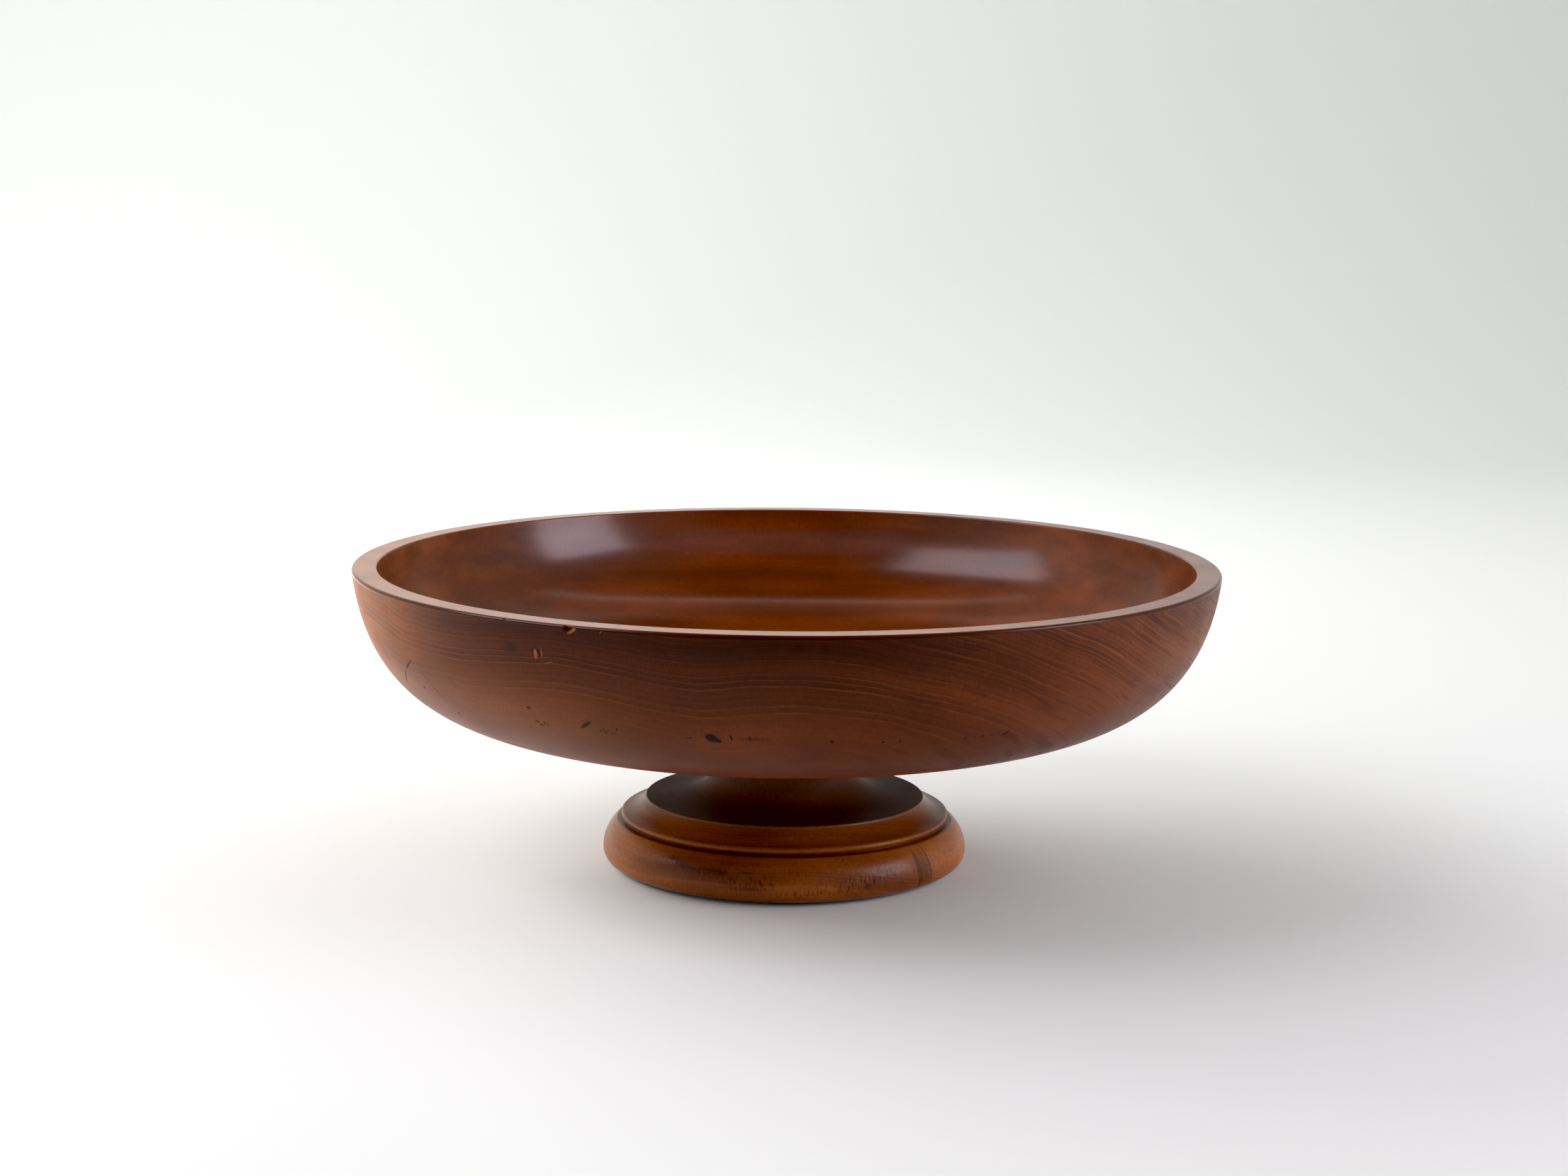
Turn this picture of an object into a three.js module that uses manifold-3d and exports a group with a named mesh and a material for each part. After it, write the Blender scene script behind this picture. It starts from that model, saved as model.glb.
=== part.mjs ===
// Turned hardwood fruit bowl on a screwed-on pedestal foot, with a baize disc under the foot.
// Millimetres, +Z up. The origin is the middle of the face that it stands on.
import * as THREE from 'three';
import { mergeVertices } from 'three/addons/utils/BufferGeometryUtils.js';
import Module from 'manifold-3d';

const wasm = await Module();
wasm.setup();

// Bowl
const rimRadius = 150;
const bowlHeight = 56.7; // from the seat on the foot up to the rim
const rimWidth = 8.6;
const rimOuterEase = 1.7;
const rimInnerEase = 0.6;
const floorThickness = 12.5;
const floorFlatRadius = 40;
const seatMargin = 5; // flat of the underside outside the neck
const wallLean = THREE.MathUtils.degToRad(6.7); // under the rim, from upright
const outerWallFullness = 1.11; // curve handle, as a share of the wall's own height
const outerBaseFullness = 0.47; // curve handle, as a share of the underside's own width
const innerWallFullness = 1.02;
const innerBaseFullness = 0.5;

// Foot
const footHeight = 49.5; // wood alone, from the baize up to the bowl's seat
const torusRadius = 64;
const torusLowerRound = 5;
const torusUpperHeight = 10.1; // from its widest point up to the quirk
const torusSetback = 4.9; // from its widest point in to the quirk
const quirkDepth = 2.2;
const quirkWidth = 0.8;
const beadRound = 1.1;
const beadOverhang = 0.7; // from the bottom of the quirk out to the bead's widest point
const beadUndercut = THREE.MathUtils.degToRad(60); // turn of its round below the widest point
const cavettoRun = 7.5;
const cavettoRise = 5.3;
const cavettoDip = 1.2;
const shoulderEdge = 0.5;
const coveRise = 10;
const coveFlatness = 0.68; // curve handle, as a share of the cove's own width
const coveLift = 0.7; // curve handle, as a share of the cove's own height
const neckRadius = 25.5;
const neckTopRadius = 29;
const spigotRadius = 9;
const spigotHeight = 4;

// Screws and their holes
const screwCount = 3;
const screwLength = 32;
const screwHeadRadius = 4.1;
const screwHeadDepth = 2.3;
const screwShankRadius = 2.1;
const screwThreadRootRadius = 1.5;
const screwThreadLength = 20;
const screwPointLength = 4;
const screwTipCover = 4; // wood left in the bowl's floor over the screw's tip
const screwSlotWidth = 1.1;
const screwSlotDepth = 1.1;
const counterboreWall = 2.5; // wood left between a counterbore and the neck's waist
const counterboreSlack = 0.9;

// Baize
const baizeThickness = 1;
const baizeInset = 1; // from the edge of the foot's flat underside

// Fits
const fitClearance = 0.3;

// Facets
const bodyFacets = 64;
const screwFacets = 16;
const curveSteps = 14;
const coveSteps = 8;
const mouldingSteps = 5;
const edgeSteps = 3;
const mergeDistance = 1e-5;

// Heights and radii that follow from the sizes above
const woodBottom = baizeThickness;
const seatHeight = woodBottom + footHeight;
const rimHeight = seatHeight + bowlHeight;
const floorHeight = seatHeight + floorThickness;
const seatRadius = neckTopRadius + seatMargin;
const counterboreRadius = screwHeadRadius + counterboreSlack;
const screwCircleRadius = neckRadius - counterboreWall - counterboreRadius;
const screwTipHeight = floorHeight - screwTipCover;
const screwHeadHeight = screwTipHeight - screwLength;
const undersideRadius = torusRadius - torusLowerRound;

const point = (radius, height) => new THREE.Vector2(radius, height);

// Arc from one point to another that bulges by `sagitta` to the left of the way.
function bulge(from, to, sagitta, steps) {
  const chord = to.clone().sub(from);
  const half = chord.length() / 2;
  const left = point(-chord.y, chord.x).normalize();
  const rise = (half * half - sagitta * sagitta) / (2 * sagitta);
  const centre = from.clone().add(to).multiplyScalar(0.5).addScaledVector(left, -rise);
  const start = from.clone().sub(centre);
  const sweep = -4 * Math.atan(sagitta / half);
  return Array.from({ length: steps + 1 }, (_, i) => {
    return start.clone().rotateAround(point(0, 0), (sweep * i) / steps).add(centre);
  });
}

// Arc about a centre, angles from the outward direction towards up.
function arc(centre, radius, fromAngle, toAngle, steps) {
  return Array.from({ length: steps + 1 }, (_, i) => {
    const angle = fromAngle + ((toAngle - fromAngle) * i) / steps;
    return point(centre.x + radius * Math.cos(angle), centre.y + radius * Math.sin(angle));
  });
}

function bezier(a, b, c, d, steps) {
  return new THREE.CubicBezierCurve(a, b, c, d).getPoints(steps);
}

// Drops points that repeat the one before, so that no face has no area.
function outline(...stretches) {
  return stretches.flat().filter((p, i, all) => i === 0 || p.distanceTo(all[i - 1]) > mergeDistance);
}

// Closed mesh with shared vertices and no collapsed triangles, as a solid that can be cut.
function solidOf(geometry) {
  const bare = geometry.clone();
  bare.deleteAttribute('normal');
  bare.deleteAttribute('uv');
  const merged = mergeVertices(bare, mergeDistance);
  const corners = Array.from(merged.index.array);
  const triangles = [];
  for (let i = 0; i < corners.length; i += 3) {
    const [a, b, c] = corners.slice(i, i + 3);
    if (a !== b && b !== c && c !== a) {
      triangles.push(a, b, c);
    }
  }
  return new wasm.Manifold(new wasm.Mesh({
    numProp: 3,
    vertProperties: new Float32Array(merged.attributes.position.array),
    triVerts: new Uint32Array(triangles),
  }));
}

function geometryOf(solid) {
  const mesh = solid.getMesh();
  const geometry = new THREE.BufferGeometry();
  geometry.setAttribute('position', new THREE.BufferAttribute(mesh.vertProperties, 3));
  geometry.setIndex(new THREE.BufferAttribute(mesh.triVerts, 1));
  geometry.computeVertexNormals();
  return geometry;
}

// Profile that starts low on the axis, runs round the outside and ends high on the axis.
function turned(profile, facets) {
  return solidOf(new THREE.LatheGeometry(profile, facets).rotateX(Math.PI / 2));
}

function screwPlaces() {
  return Array.from({ length: screwCount }, (_, i) => {
    const angle = Math.PI / 2 + (2 * Math.PI * i) / screwCount;
    return [screwCircleRadius * Math.cos(angle), screwCircleRadius * Math.sin(angle), 0];
  });
}

function cutAtScrews(solid, cutter) {
  return screwPlaces().reduce((left, place) => left.subtract(cutter.translate(place)), solid);
}

function bowlSolid() {
  const socketRadius = spigotRadius + fitClearance;
  const socketTop = seatHeight + spigotHeight + fitClearance;
  const outerTop = point(rimRadius, rimHeight - rimOuterEase);
  const outerEnd = point(seatRadius, seatHeight);
  const outerWall = outerWallFullness * (outerTop.y - outerEnd.y);
  const outerBase = outerBaseFullness * (outerTop.x - outerEnd.x);
  const outside = bezier(
    outerEnd,
    point(outerEnd.x + outerBase, outerEnd.y),
    point(outerTop.x - outerWall * Math.sin(wallLean), outerTop.y - outerWall * Math.cos(wallLean)),
    outerTop,
    curveSteps,
  );
  const innerTop = point(rimRadius - rimWidth, rimHeight - rimInnerEase);
  const innerEnd = point(floorFlatRadius, floorHeight);
  const innerWall = innerWallFullness * (innerTop.y - innerEnd.y);
  const innerBase = innerBaseFullness * (innerTop.x - innerEnd.x);
  const inside = bezier(
    innerTop,
    point(innerTop.x - innerWall * Math.sin(wallLean), innerTop.y - innerWall * Math.cos(wallLean)),
    point(innerEnd.x + innerBase, innerEnd.y),
    innerEnd,
    curveSteps,
  );
  const outerEdge = arc(
    point(rimRadius - rimOuterEase, rimHeight - rimOuterEase), rimOuterEase, 0, Math.PI / 2, edgeSteps,
  );
  const innerEdge = arc(
    point(innerTop.x + rimInnerEase, innerTop.y), rimInnerEase, Math.PI / 2, Math.PI, edgeSteps,
  );
  const profile = outline(
    [point(0, socketTop), point(socketRadius, socketTop), point(socketRadius, seatHeight)],
    outside, outerEdge, innerEdge, inside, [point(0, floorHeight)],
  );
  return cutAtScrews(turned(profile, bodyFacets), turned(screwOutline(fitClearance), screwFacets));
}

function footSolid() {
  const widest = woodBottom + torusLowerRound;
  const torusLower = arc(
    point(undersideRadius, widest), torusLowerRound, -Math.PI / 2, 0, mouldingSteps,
  );
  const upperRound = (torusSetback ** 2 + torusUpperHeight ** 2) / (2 * torusSetback);
  const upperTurn = Math.atan2(torusUpperHeight, upperRound - torusSetback);
  const torusUpper = arc(
    point(torusRadius - upperRound, widest), upperRound, 0, upperTurn, mouldingSteps,
  );
  const quirkLip = torusUpper[torusUpper.length - 1];
  const quirkBottom = point(quirkLip.x - quirkDepth, quirkLip.y + quirkWidth / 2);
  const beadCentre = point(
    quirkBottom.x + beadOverhang - beadRound, quirkBottom.y + quirkWidth / 2 + beadRound,
  );
  const bead = arc(beadCentre, beadRound, -beadUndercut, Math.PI / 2, mouldingSteps);
  const cavettoFoot = bead[bead.length - 1];
  const shoulder = point(cavettoFoot.x - cavettoRun, cavettoFoot.y + cavettoRise);
  const cavettoTop = point(shoulder.x, shoulder.y - shoulderEdge);
  const cavetto = bulge(cavettoFoot, cavettoTop, cavettoDip, mouldingSteps);
  const coveStart = point(shoulder.x - shoulderEdge, shoulder.y);
  const coveEnd = point(neckRadius, shoulder.y + coveRise);
  const cove = bezier(
    coveStart,
    point(coveStart.x - coveFlatness * (coveStart.x - coveEnd.x), coveStart.y),
    point(coveEnd.x, coveEnd.y - coveLift * (coveEnd.y - coveStart.y)),
    coveEnd,
    coveSteps,
  );
  const neckMiddle = (coveEnd.y + seatHeight) / 2;
  const neck = bezier(
    coveEnd, point(neckRadius, neckMiddle), point(neckRadius, neckMiddle), point(neckTopRadius, seatHeight),
    mouldingSteps,
  );
  const spigotTop = seatHeight + spigotHeight;
  const profile = outline(
    [point(0, woodBottom)], torusLower, torusUpper, [quirkBottom], bead, cavetto, cove, neck,
    [point(spigotRadius, seatHeight), point(spigotRadius, spigotTop), point(0, spigotTop)],
  );
  return cutAtScrews(turned(profile, bodyFacets), screwHole());
}

// Counterbore from below, countersink for the head and a clear hole for the shank.
function screwHole() {
  const below = woodBottom - fitClearance;
  const above = seatHeight + spigotHeight + fitClearance;
  const [, head, shank] = screwOutline(fitClearance);
  return turned(
    [
      point(0, below), point(counterboreRadius, below), point(counterboreRadius, head.y),
      head, shank, point(shank.x, above), point(0, above),
    ],
    screwFacets,
  );
}

// Outline of a countersunk wood screw, head down, point up, with `slack` round its sides and tip.
function screwOutline(slack) {
  const headBase = screwHeadHeight - slack;
  const threadStart = screwTipHeight - screwThreadLength;
  const pointStart = screwTipHeight - screwPointLength;
  const shankRadius = screwShankRadius + slack;
  const rootRadius = screwThreadRootRadius + slack;
  return [
    point(0, headBase), point(screwHeadRadius + slack, headBase),
    point(shankRadius, headBase + screwHeadDepth), point(shankRadius, threadStart),
    point(rootRadius, threadStart + screwShankRadius), point(rootRadius, pointStart),
    point(0, screwTipHeight + slack),
  ];
}

function screwSolid() {
  const slotLength = 2 * (screwHeadRadius + fitClearance);
  const slot = new THREE.BoxGeometry(slotLength, screwSlotWidth, 2 * screwSlotDepth);
  const body = turned(screwOutline(0), screwFacets);
  return body.subtract(solidOf(slot.translate(0, 0, screwHeadHeight)));
}

function baizeSolid() {
  const radius = undersideRadius - baizeInset;
  return turned(
    [point(0, 0), point(radius, 0), point(radius, baizeThickness), point(0, baizeThickness)],
    bodyFacets,
  );
}

const turnedWood = new THREE.MeshStandardMaterial({ color: 0x7a3f22, roughness: 0.38, metalness: 0 });
const screwBrass = new THREE.MeshStandardMaterial({ color: 0xb08a45, roughness: 0.4, metalness: 1 });
const greenBaize = new THREE.MeshStandardMaterial({ color: 0x1f4a33, roughness: 0.95, metalness: 0 });

function piece(name, solid, material) {
  const mesh = new THREE.Mesh(geometryOf(solid), material);
  mesh.name = name;
  return mesh;
}

const footedBowl = new THREE.Group();
footedBowl.add(piece('bowl', bowlSolid(), turnedWood));
footedBowl.add(piece('foot', footSolid(), turnedWood));
footedBowl.add(piece('baize_pad', baizeSolid(), greenBaize));
screwPlaces().forEach((place, i) => {
  const screw = piece(`foot_screw_${i + 1}`, screwSolid(), screwBrass);
  screw.position.set(...place);
  footedBowl.add(screw);
});

export default footedBowl;
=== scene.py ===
"""A turned hardwood bowl on a moulded foot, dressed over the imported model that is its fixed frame.

Everything is in metres in the frame of the solids: +Z up along the turning axis, the bowl standing on its baize
at the origin, the viewer on the -Y side. A turn is an angle about the axis, counted from the front to the right.
"""

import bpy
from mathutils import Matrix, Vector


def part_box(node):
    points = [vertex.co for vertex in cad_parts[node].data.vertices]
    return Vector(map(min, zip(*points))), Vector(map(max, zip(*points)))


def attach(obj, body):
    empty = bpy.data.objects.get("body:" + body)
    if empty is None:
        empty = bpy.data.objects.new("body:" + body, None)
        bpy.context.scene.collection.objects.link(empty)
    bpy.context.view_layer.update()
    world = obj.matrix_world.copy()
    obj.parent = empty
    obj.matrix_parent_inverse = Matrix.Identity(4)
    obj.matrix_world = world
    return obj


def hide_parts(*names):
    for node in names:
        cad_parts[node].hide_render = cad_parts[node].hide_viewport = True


bl_info = {
    "name": "Footed Turned Bowl",
    "version": (1, 0, 0),
    "blender": (4, 5, 0),
    "location": "3D View > Sidebar > Turned Bowl",
    "description": "Builds a footed turned bowl, its screws and its baize over the packed model",
    "category": "Object",
}

import math

import bpy
import numpy as np
from mathutils import Matrix

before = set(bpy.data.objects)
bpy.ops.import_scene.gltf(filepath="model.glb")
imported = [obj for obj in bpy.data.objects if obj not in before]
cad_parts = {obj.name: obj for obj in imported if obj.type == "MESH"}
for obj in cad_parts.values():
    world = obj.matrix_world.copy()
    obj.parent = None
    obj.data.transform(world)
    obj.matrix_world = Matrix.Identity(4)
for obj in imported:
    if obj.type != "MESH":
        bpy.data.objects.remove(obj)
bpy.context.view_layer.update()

MM = 0.001
RIM_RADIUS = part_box("bowl")[1][0]
RIM_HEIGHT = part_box("bowl")[1][2]
SEAT_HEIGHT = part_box("bowl")[0][2]
TORUS_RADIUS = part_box("foot")[1][0]
WOOD_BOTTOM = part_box("foot")[0][2]
SPIGOT_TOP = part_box("foot")[1][2]
BAIZE_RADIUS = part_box("baize_pad")[1][0]
SCREW_NODES = ("foot_screw_1", "foot_screw_2", "foot_screw_3")


def span(name, size, description):
    """A length property with its default in metres."""
    return bpy.props.FloatProperty(
        name=name, description=description, default=size, min=0.0, precision=5, unit="LENGTH", subtype="DISTANCE"
    )


def share(name, value, description):
    """A plain ratio property."""
    return bpy.props.FloatProperty(name=name, description=description, default=value, min=0.0, max=4.0)


def turn(name, degrees, description):
    """An angle property with its default in degrees."""
    return bpy.props.FloatProperty(
        name=name, description=description, default=math.radians(degrees), unit="ROTATION", subtype="ANGLE"
    )


def power(name, watts, description):
    """The power of a light."""
    return bpy.props.FloatProperty(name=name, description=description, default=watts, min=0.0, unit="POWER")


def tint(name, colour, description):
    """A scene-linear colour property."""
    return bpy.props.FloatVectorProperty(
        name=name, description=description, default=colour, size=3, min=0.0, max=1.0, subtype="COLOR"
    )


class BowlSizes(bpy.types.PropertyGroup):
    """Sizes of the bowl"""

    rim_radius: span("Rim radius", RIM_RADIUS, "Outer radius of the rim")
    rim_height: span("Rim height", RIM_HEIGHT, "Height of the flat rim above the table")
    rim_width: span("Rim width", 8.6 * MM, "Width of the flat rim with its eased edges")
    outer_ease: span("Outer ease", 1.0 * MM, "Rounding of the rim's outer edge")
    inner_ease: span("Inner ease", 0.6 * MM, "Rounding of the rim's inner edge")
    wall_lean: turn("Wall lean", 6.7, "How far the wall leans out where it meets the rim")
    outer_wall_fullness: share("Outer wall fullness", 1.11, "Pull of the outside curve down from the rim")
    outer_base_fullness: share("Outer base fullness", 0.47, "Pull of the outside curve out from the seat")
    inner_wall_fullness: share("Inner wall fullness", 1.02, "Pull of the inside curve down from the rim")
    inner_base_fullness: share("Inner base fullness", 0.5, "Pull of the inside curve out from the floor")
    seat_height: span("Seat height", SEAT_HEIGHT, "Height of the bowl's flat underside above the table")
    seat_radius: span("Seat radius", 34 * MM, "Radius of the flat seat on the foot")
    floor_height: span("Floor height", 63 * MM, "Height of the flat floor inside")
    floor_radius: span("Floor radius", 40 * MM, "Radius of the flat floor inside")
    socket_radius: span("Socket radius", 9.3 * MM, "Radius of the socket for the foot's spigot")
    socket_top: span("Socket top", SPIGOT_TOP + 0.3 * MM, "Height of the socket's end above the table")


class FootSizes(bpy.types.PropertyGroup):
    """Sizes of the foot's mouldings"""

    bottom: span("Bottom", WOOD_BOTTOM, "Height of the wood's underside above the table")
    top: span("Top", SEAT_HEIGHT, "Height of the face that carries the bowl")
    torus_radius: span("Torus radius", TORUS_RADIUS, "Outer radius of the big half-round at the base")
    torus_lower: span("Torus lower round", 5 * MM, "Rounding under the torus")
    torus_upper: span("Torus upper height", 10.1 * MM, "Height of the torus above its widest line")
    torus_setback: span("Torus setback", 4.9 * MM, "How far the torus draws in at its top")
    quirk_depth: span("Quirk depth", 2.2 * MM, "Depth of the groove between torus and bead")
    quirk_width: span("Quirk width", 0.8 * MM, "Width of the groove between torus and bead")
    bead_round: span("Bead round", 1.1 * MM, "Radius of the thin bead")
    bead_overhang: span("Bead overhang", 0.7 * MM, "How far the bead stands out over the groove")
    cavetto_run: span("Cavetto run", 7.5 * MM, "Width of the hollow moulding from bead to shoulder")
    cavetto_rise: span("Cavetto rise", 5.3 * MM, "Height of the hollow moulding")
    cavetto_dip: span("Cavetto dip", 1.2 * MM, "Depth of the hollow moulding")
    shoulder_edge: span("Shoulder edge", 0.5 * MM, "Ease of the shoulder's edge")
    cove_rise: span("Cove rise", 10 * MM, "Height of the sweep from shoulder to neck")
    neck_radius: span("Neck radius", 25.5 * MM, "Radius of the neck where it is thinnest")
    neck_top: span("Neck top radius", 29 * MM, "Radius of the neck under the bowl")
    spigot_radius: span("Spigot radius", 9 * MM, "Radius of the peg in the bowl's socket")
    spigot_top: span("Spigot top", SPIGOT_TOP, "Height of the peg's end above the table")


class BaizeSizes(bpy.types.PropertyGroup):
    """Size and colour of the cloth"""

    radius: span("Radius", BAIZE_RADIUS, "Radius of the cloth disc")
    thickness: span("Thickness", WOOD_BOTTOM, "Thickness of the cloth")
    colour: tint("Colour", (0.014, 0.060, 0.032), "Colour of the cloth")


class ScrewSizes(bpy.types.PropertyGroup):
    """Sizes and colour of the screws"""

    head_radius: span("Head radius", 4.1 * MM, "Radius of the countersunk head")
    head_depth: span("Head depth", 2.3 * MM, "Depth of the head's cone")
    shank_radius: span("Shank radius", 2.1 * MM, "Radius of the plain shank and of the thread's crest")
    root_radius: span("Root radius", 1.5 * MM, "Radius at the root of the thread")
    thread_length: span("Thread length", 20 * MM, "Length of the threaded part with its point")
    point_length: span("Point length", 4 * MM, "Length of the gimlet point")
    pitch: span("Pitch", 1.8 * MM, "Rise of the thread in one turn")
    slot_width: span("Slot width", 1.1 * MM, "Width of the driver slot")
    slot_depth: span("Slot depth", 1.1 * MM, "Depth of the driver slot")
    colour: tint("Colour", (0.62, 0.43, 0.16), "Colour of the brass")


class TimberLook(bpy.types.PropertyGroup):
    """Colours and layers of the two pieces of wood"""

    bowl_deep: tint("Bowl deep", (0.090, 0.0190, 0.0030), "Darkest wood of the bowl")
    bowl_body: tint("Bowl body", (0.192, 0.0440, 0.0080), "Main wood of the bowl")
    bowl_line: tint("Bowl growth line", (0.360, 0.1100, 0.0340), "Pale growth lines of the bowl")
    # The bowl's gold is painted side light at its ends; the foot's is golden wood, with painted side light on its
    # left.
    bowl_gold: tint("Bowl gold", (0.450, 0.1400, 0.0220), "Golden wood at the bowl's left end")
    foot_deep: tint("Foot deep", (0.115, 0.0250, 0.0050), "Darkest wood of the foot")
    foot_body: tint("Foot body", (0.330, 0.0990, 0.0220), "Main wood of the foot")
    foot_line: tint("Foot growth line", (0.360, 0.1300, 0.0400), "Pale growth lines of the foot")
    foot_gold: tint("Foot gold", (0.460, 0.1600, 0.0340), "Golden patches on the foot")
    # Both recess colours are painted shade: near black for the bowl, a greyer brown for the foot.
    bowl_grime: tint("Bowl grime", (0.025, 0.0053, 0.0008), "Dark wax in the bowl's recesses")
    foot_grime: tint("Foot grime", (0.078, 0.0590, 0.0480), "Dusty wax in the foot's recesses")
    bowl_spacing: span("Bowl line spacing", 1.25 * MM, "Depth of one growth layer of the bowl")
    foot_spacing: span("Foot line spacing", 1.2 * MM, "Depth of one growth layer of the foot")


class StageLook(bpy.types.PropertyGroup):
    """The paper, the lights and the lens"""

    floor: tint("Floor", (0.787, 0.806, 0.787), "Colour of the pale floor and backdrop")
    left_power: power("Left light", 4.8, "Power of the large light on the left")
    wall_power: power("Left wall", 12.0, "Power of the low light on the left")
    right_power: power("Right light", 8.0, "Power of the small light on the right")
    glow_power: power("Front glow", 2.2, "Power of the dim panel in front that only shines in the wax")
    strip_power: power("Ceiling strip", 1.15, "Power of the thin strip overhead that only shines in the wax")
    back_power: power("Back light", 24.0, "Power of the light towards the backdrop")
    room: share("Room", 1.85, "Strength of the room's soft light")
    lens: bpy.props.FloatProperty(
        name="Lens", description="Focal length on a 36 mm wide sensor", default=60.08, min=1.0, unit="CAMERA"
    )


def cubic(start, pull, push, end, steps):
    """A cubic curve: its four points weighted by (1-t)^3, 3t(1-t)^2, 3t^2(1-t) and t^3.

    t runs from 0 to 1 in a number of even steps, or through the given values.
    """
    t = (np.linspace(0.0, 1.0, steps) if np.isscalar(steps) else np.asarray(steps, float))[:, None]
    points = [np.asarray(p, float) for p in (start, pull, push, end)]
    weights = ((1 - t) ** 3, 3 * t * (1 - t) ** 2, 3 * t**2 * (1 - t), t**3)
    return sum(w * p for w, p in zip(weights, points))


def arc(centre, radius, first, last, steps):
    """A circular arc: centre plus radius times the cosine and sine of angles from first to last, in degrees."""
    a = np.radians(np.linspace(first, last, steps))
    return np.column_stack((centre[0] + radius * np.cos(a), centre[1] + radius * np.sin(a)))


def hollow(start, end, dip, steps):
    """A shallow concave arc from start to end: the chord pushed in by dip times 1-(2t-1)^2 along its normal."""
    start, end = np.asarray(start, float), np.asarray(end, float)
    t = np.linspace(0.0, 1.0, steps)[:, None]
    along = (end - start) / np.linalg.norm(end - start)
    inward = np.array((-abs(along[1]), -abs(along[0])))
    return start + t * (end - start) + inward * dip * (1 - (2 * t - 1) ** 2)


def level(z, first, last, steps):
    """A level stretch of a profile from radius first to radius last."""
    return np.column_stack((np.linspace(first, last, steps), np.full(steps, z)))


def joined(*sections):
    """The sections end to end, without points that repeat the one before them."""
    path = np.concatenate([np.atleast_2d(s) for s in sections])
    keep = np.r_[True, np.linalg.norm(np.diff(path, axis=0), axis=1) > 1e-7]
    return path[keep]


def run_length(path):
    """Distance along a profile from its first point."""
    return np.r_[0.0, np.cumsum(np.linalg.norm(np.diff(path, axis=0), axis=1))]


def outward(path):
    """Unit normals of a profile, to the right of its direction of travel."""
    along = np.gradient(path, axis=0)
    along /= np.maximum(np.linalg.norm(along, axis=1), 1e-12)[:, None]
    return np.column_stack((along[:, 1], -along[:, 0]))


def bell(distance, width):
    """A smooth bump: e to the minus square of distance over width."""
    return np.exp(-((distance / width) ** 2))


def eased_step(value, low, high):
    """A smooth step from 0 at low to 1 at high: 3t^2 - 2t^3."""
    t = np.clip((value - low) / (high - low), 0.0, 1.0)
    return t * t * (3 - 2 * t)


def fade_in(place, low, high):
    """A smooth step over places in metres, from 0 at low to 1 at high, both in millimetres."""
    return eased_step(place, low * MM, high * MM)


def mesh_object(name, vertices, faces, body="root"):
    """A smooth mesh object at the origin that rides on a body of the frame."""
    data = bpy.data.meshes.new(name)
    data.from_pydata(vertices.tolist(), [], faces)
    data.validate()
    data.shade_smooth()
    piece = bpy.data.objects.new(name, data)
    bpy.context.collection.objects.link(piece)
    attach(piece, body)
    return piece


def paint(piece, name, values):
    """Stores one number per vertex on a piece for its material to read."""
    layer = piece.data.attributes.new(name, "FLOAT", "POINT")
    layer.data.foreach_set("value", np.ascontiguousarray(values, dtype=np.float32))


def vertex_places(piece):
    """The places of a piece's vertices, one row each."""
    flat = np.empty(3 * len(piece.data.vertices), dtype=np.float32)
    piece.data.vertices.foreach_get("co", flat)
    return flat.reshape(-1, 3).astype(float)


def revolved(name, profile, turns, push=None):
    """A profile carried round the axis: x = r sin(turn), y = -r cos(turn), z = height.

    The profile runs from the axis underneath, out and round to the axis on top, so its two ends become poles.
    push gives, for each profile point and turn, how far the surface stands out along its normal.
    """
    ring = profile[1:-1]
    normal = outward(profile)[1:-1]
    stand = np.zeros((len(ring), len(turns))) if push is None else push[1:-1]
    r = ring[:, :1] + normal[:, :1] * stand
    z = ring[:, 1:] + normal[:, 1:] * stand
    grid = np.stack((r * np.sin(turns), -r * np.cos(turns), z), axis=-1)
    vertices = np.concatenate(([(0, 0, profile[0, 1])], grid.reshape(-1, 3), [(0, 0, profile[-1, 1])]))
    rows, columns = len(ring), len(turns)
    at = 1 + np.arange(rows * columns).reshape(rows, columns)
    beside = np.roll(at, -1, axis=1)
    quads = np.stack((at[:-1], beside[:-1], beside[1:], at[1:]), axis=-1).reshape(-1, 4)
    under = np.stack((np.zeros(columns, int), beside[0], at[0]), axis=-1)
    over = np.stack((np.full(columns, len(vertices) - 1), at[-1], beside[-1]), axis=-1)
    return mesh_object(name, vertices, quads.tolist() + under.tolist() + over.tolist())


def spread(values, columns):
    """One value per profile point, repeated round each ring, with the poles kept single."""
    return np.concatenate((values[:1], np.repeat(values[1:-1], columns), values[-1:]))


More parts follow.
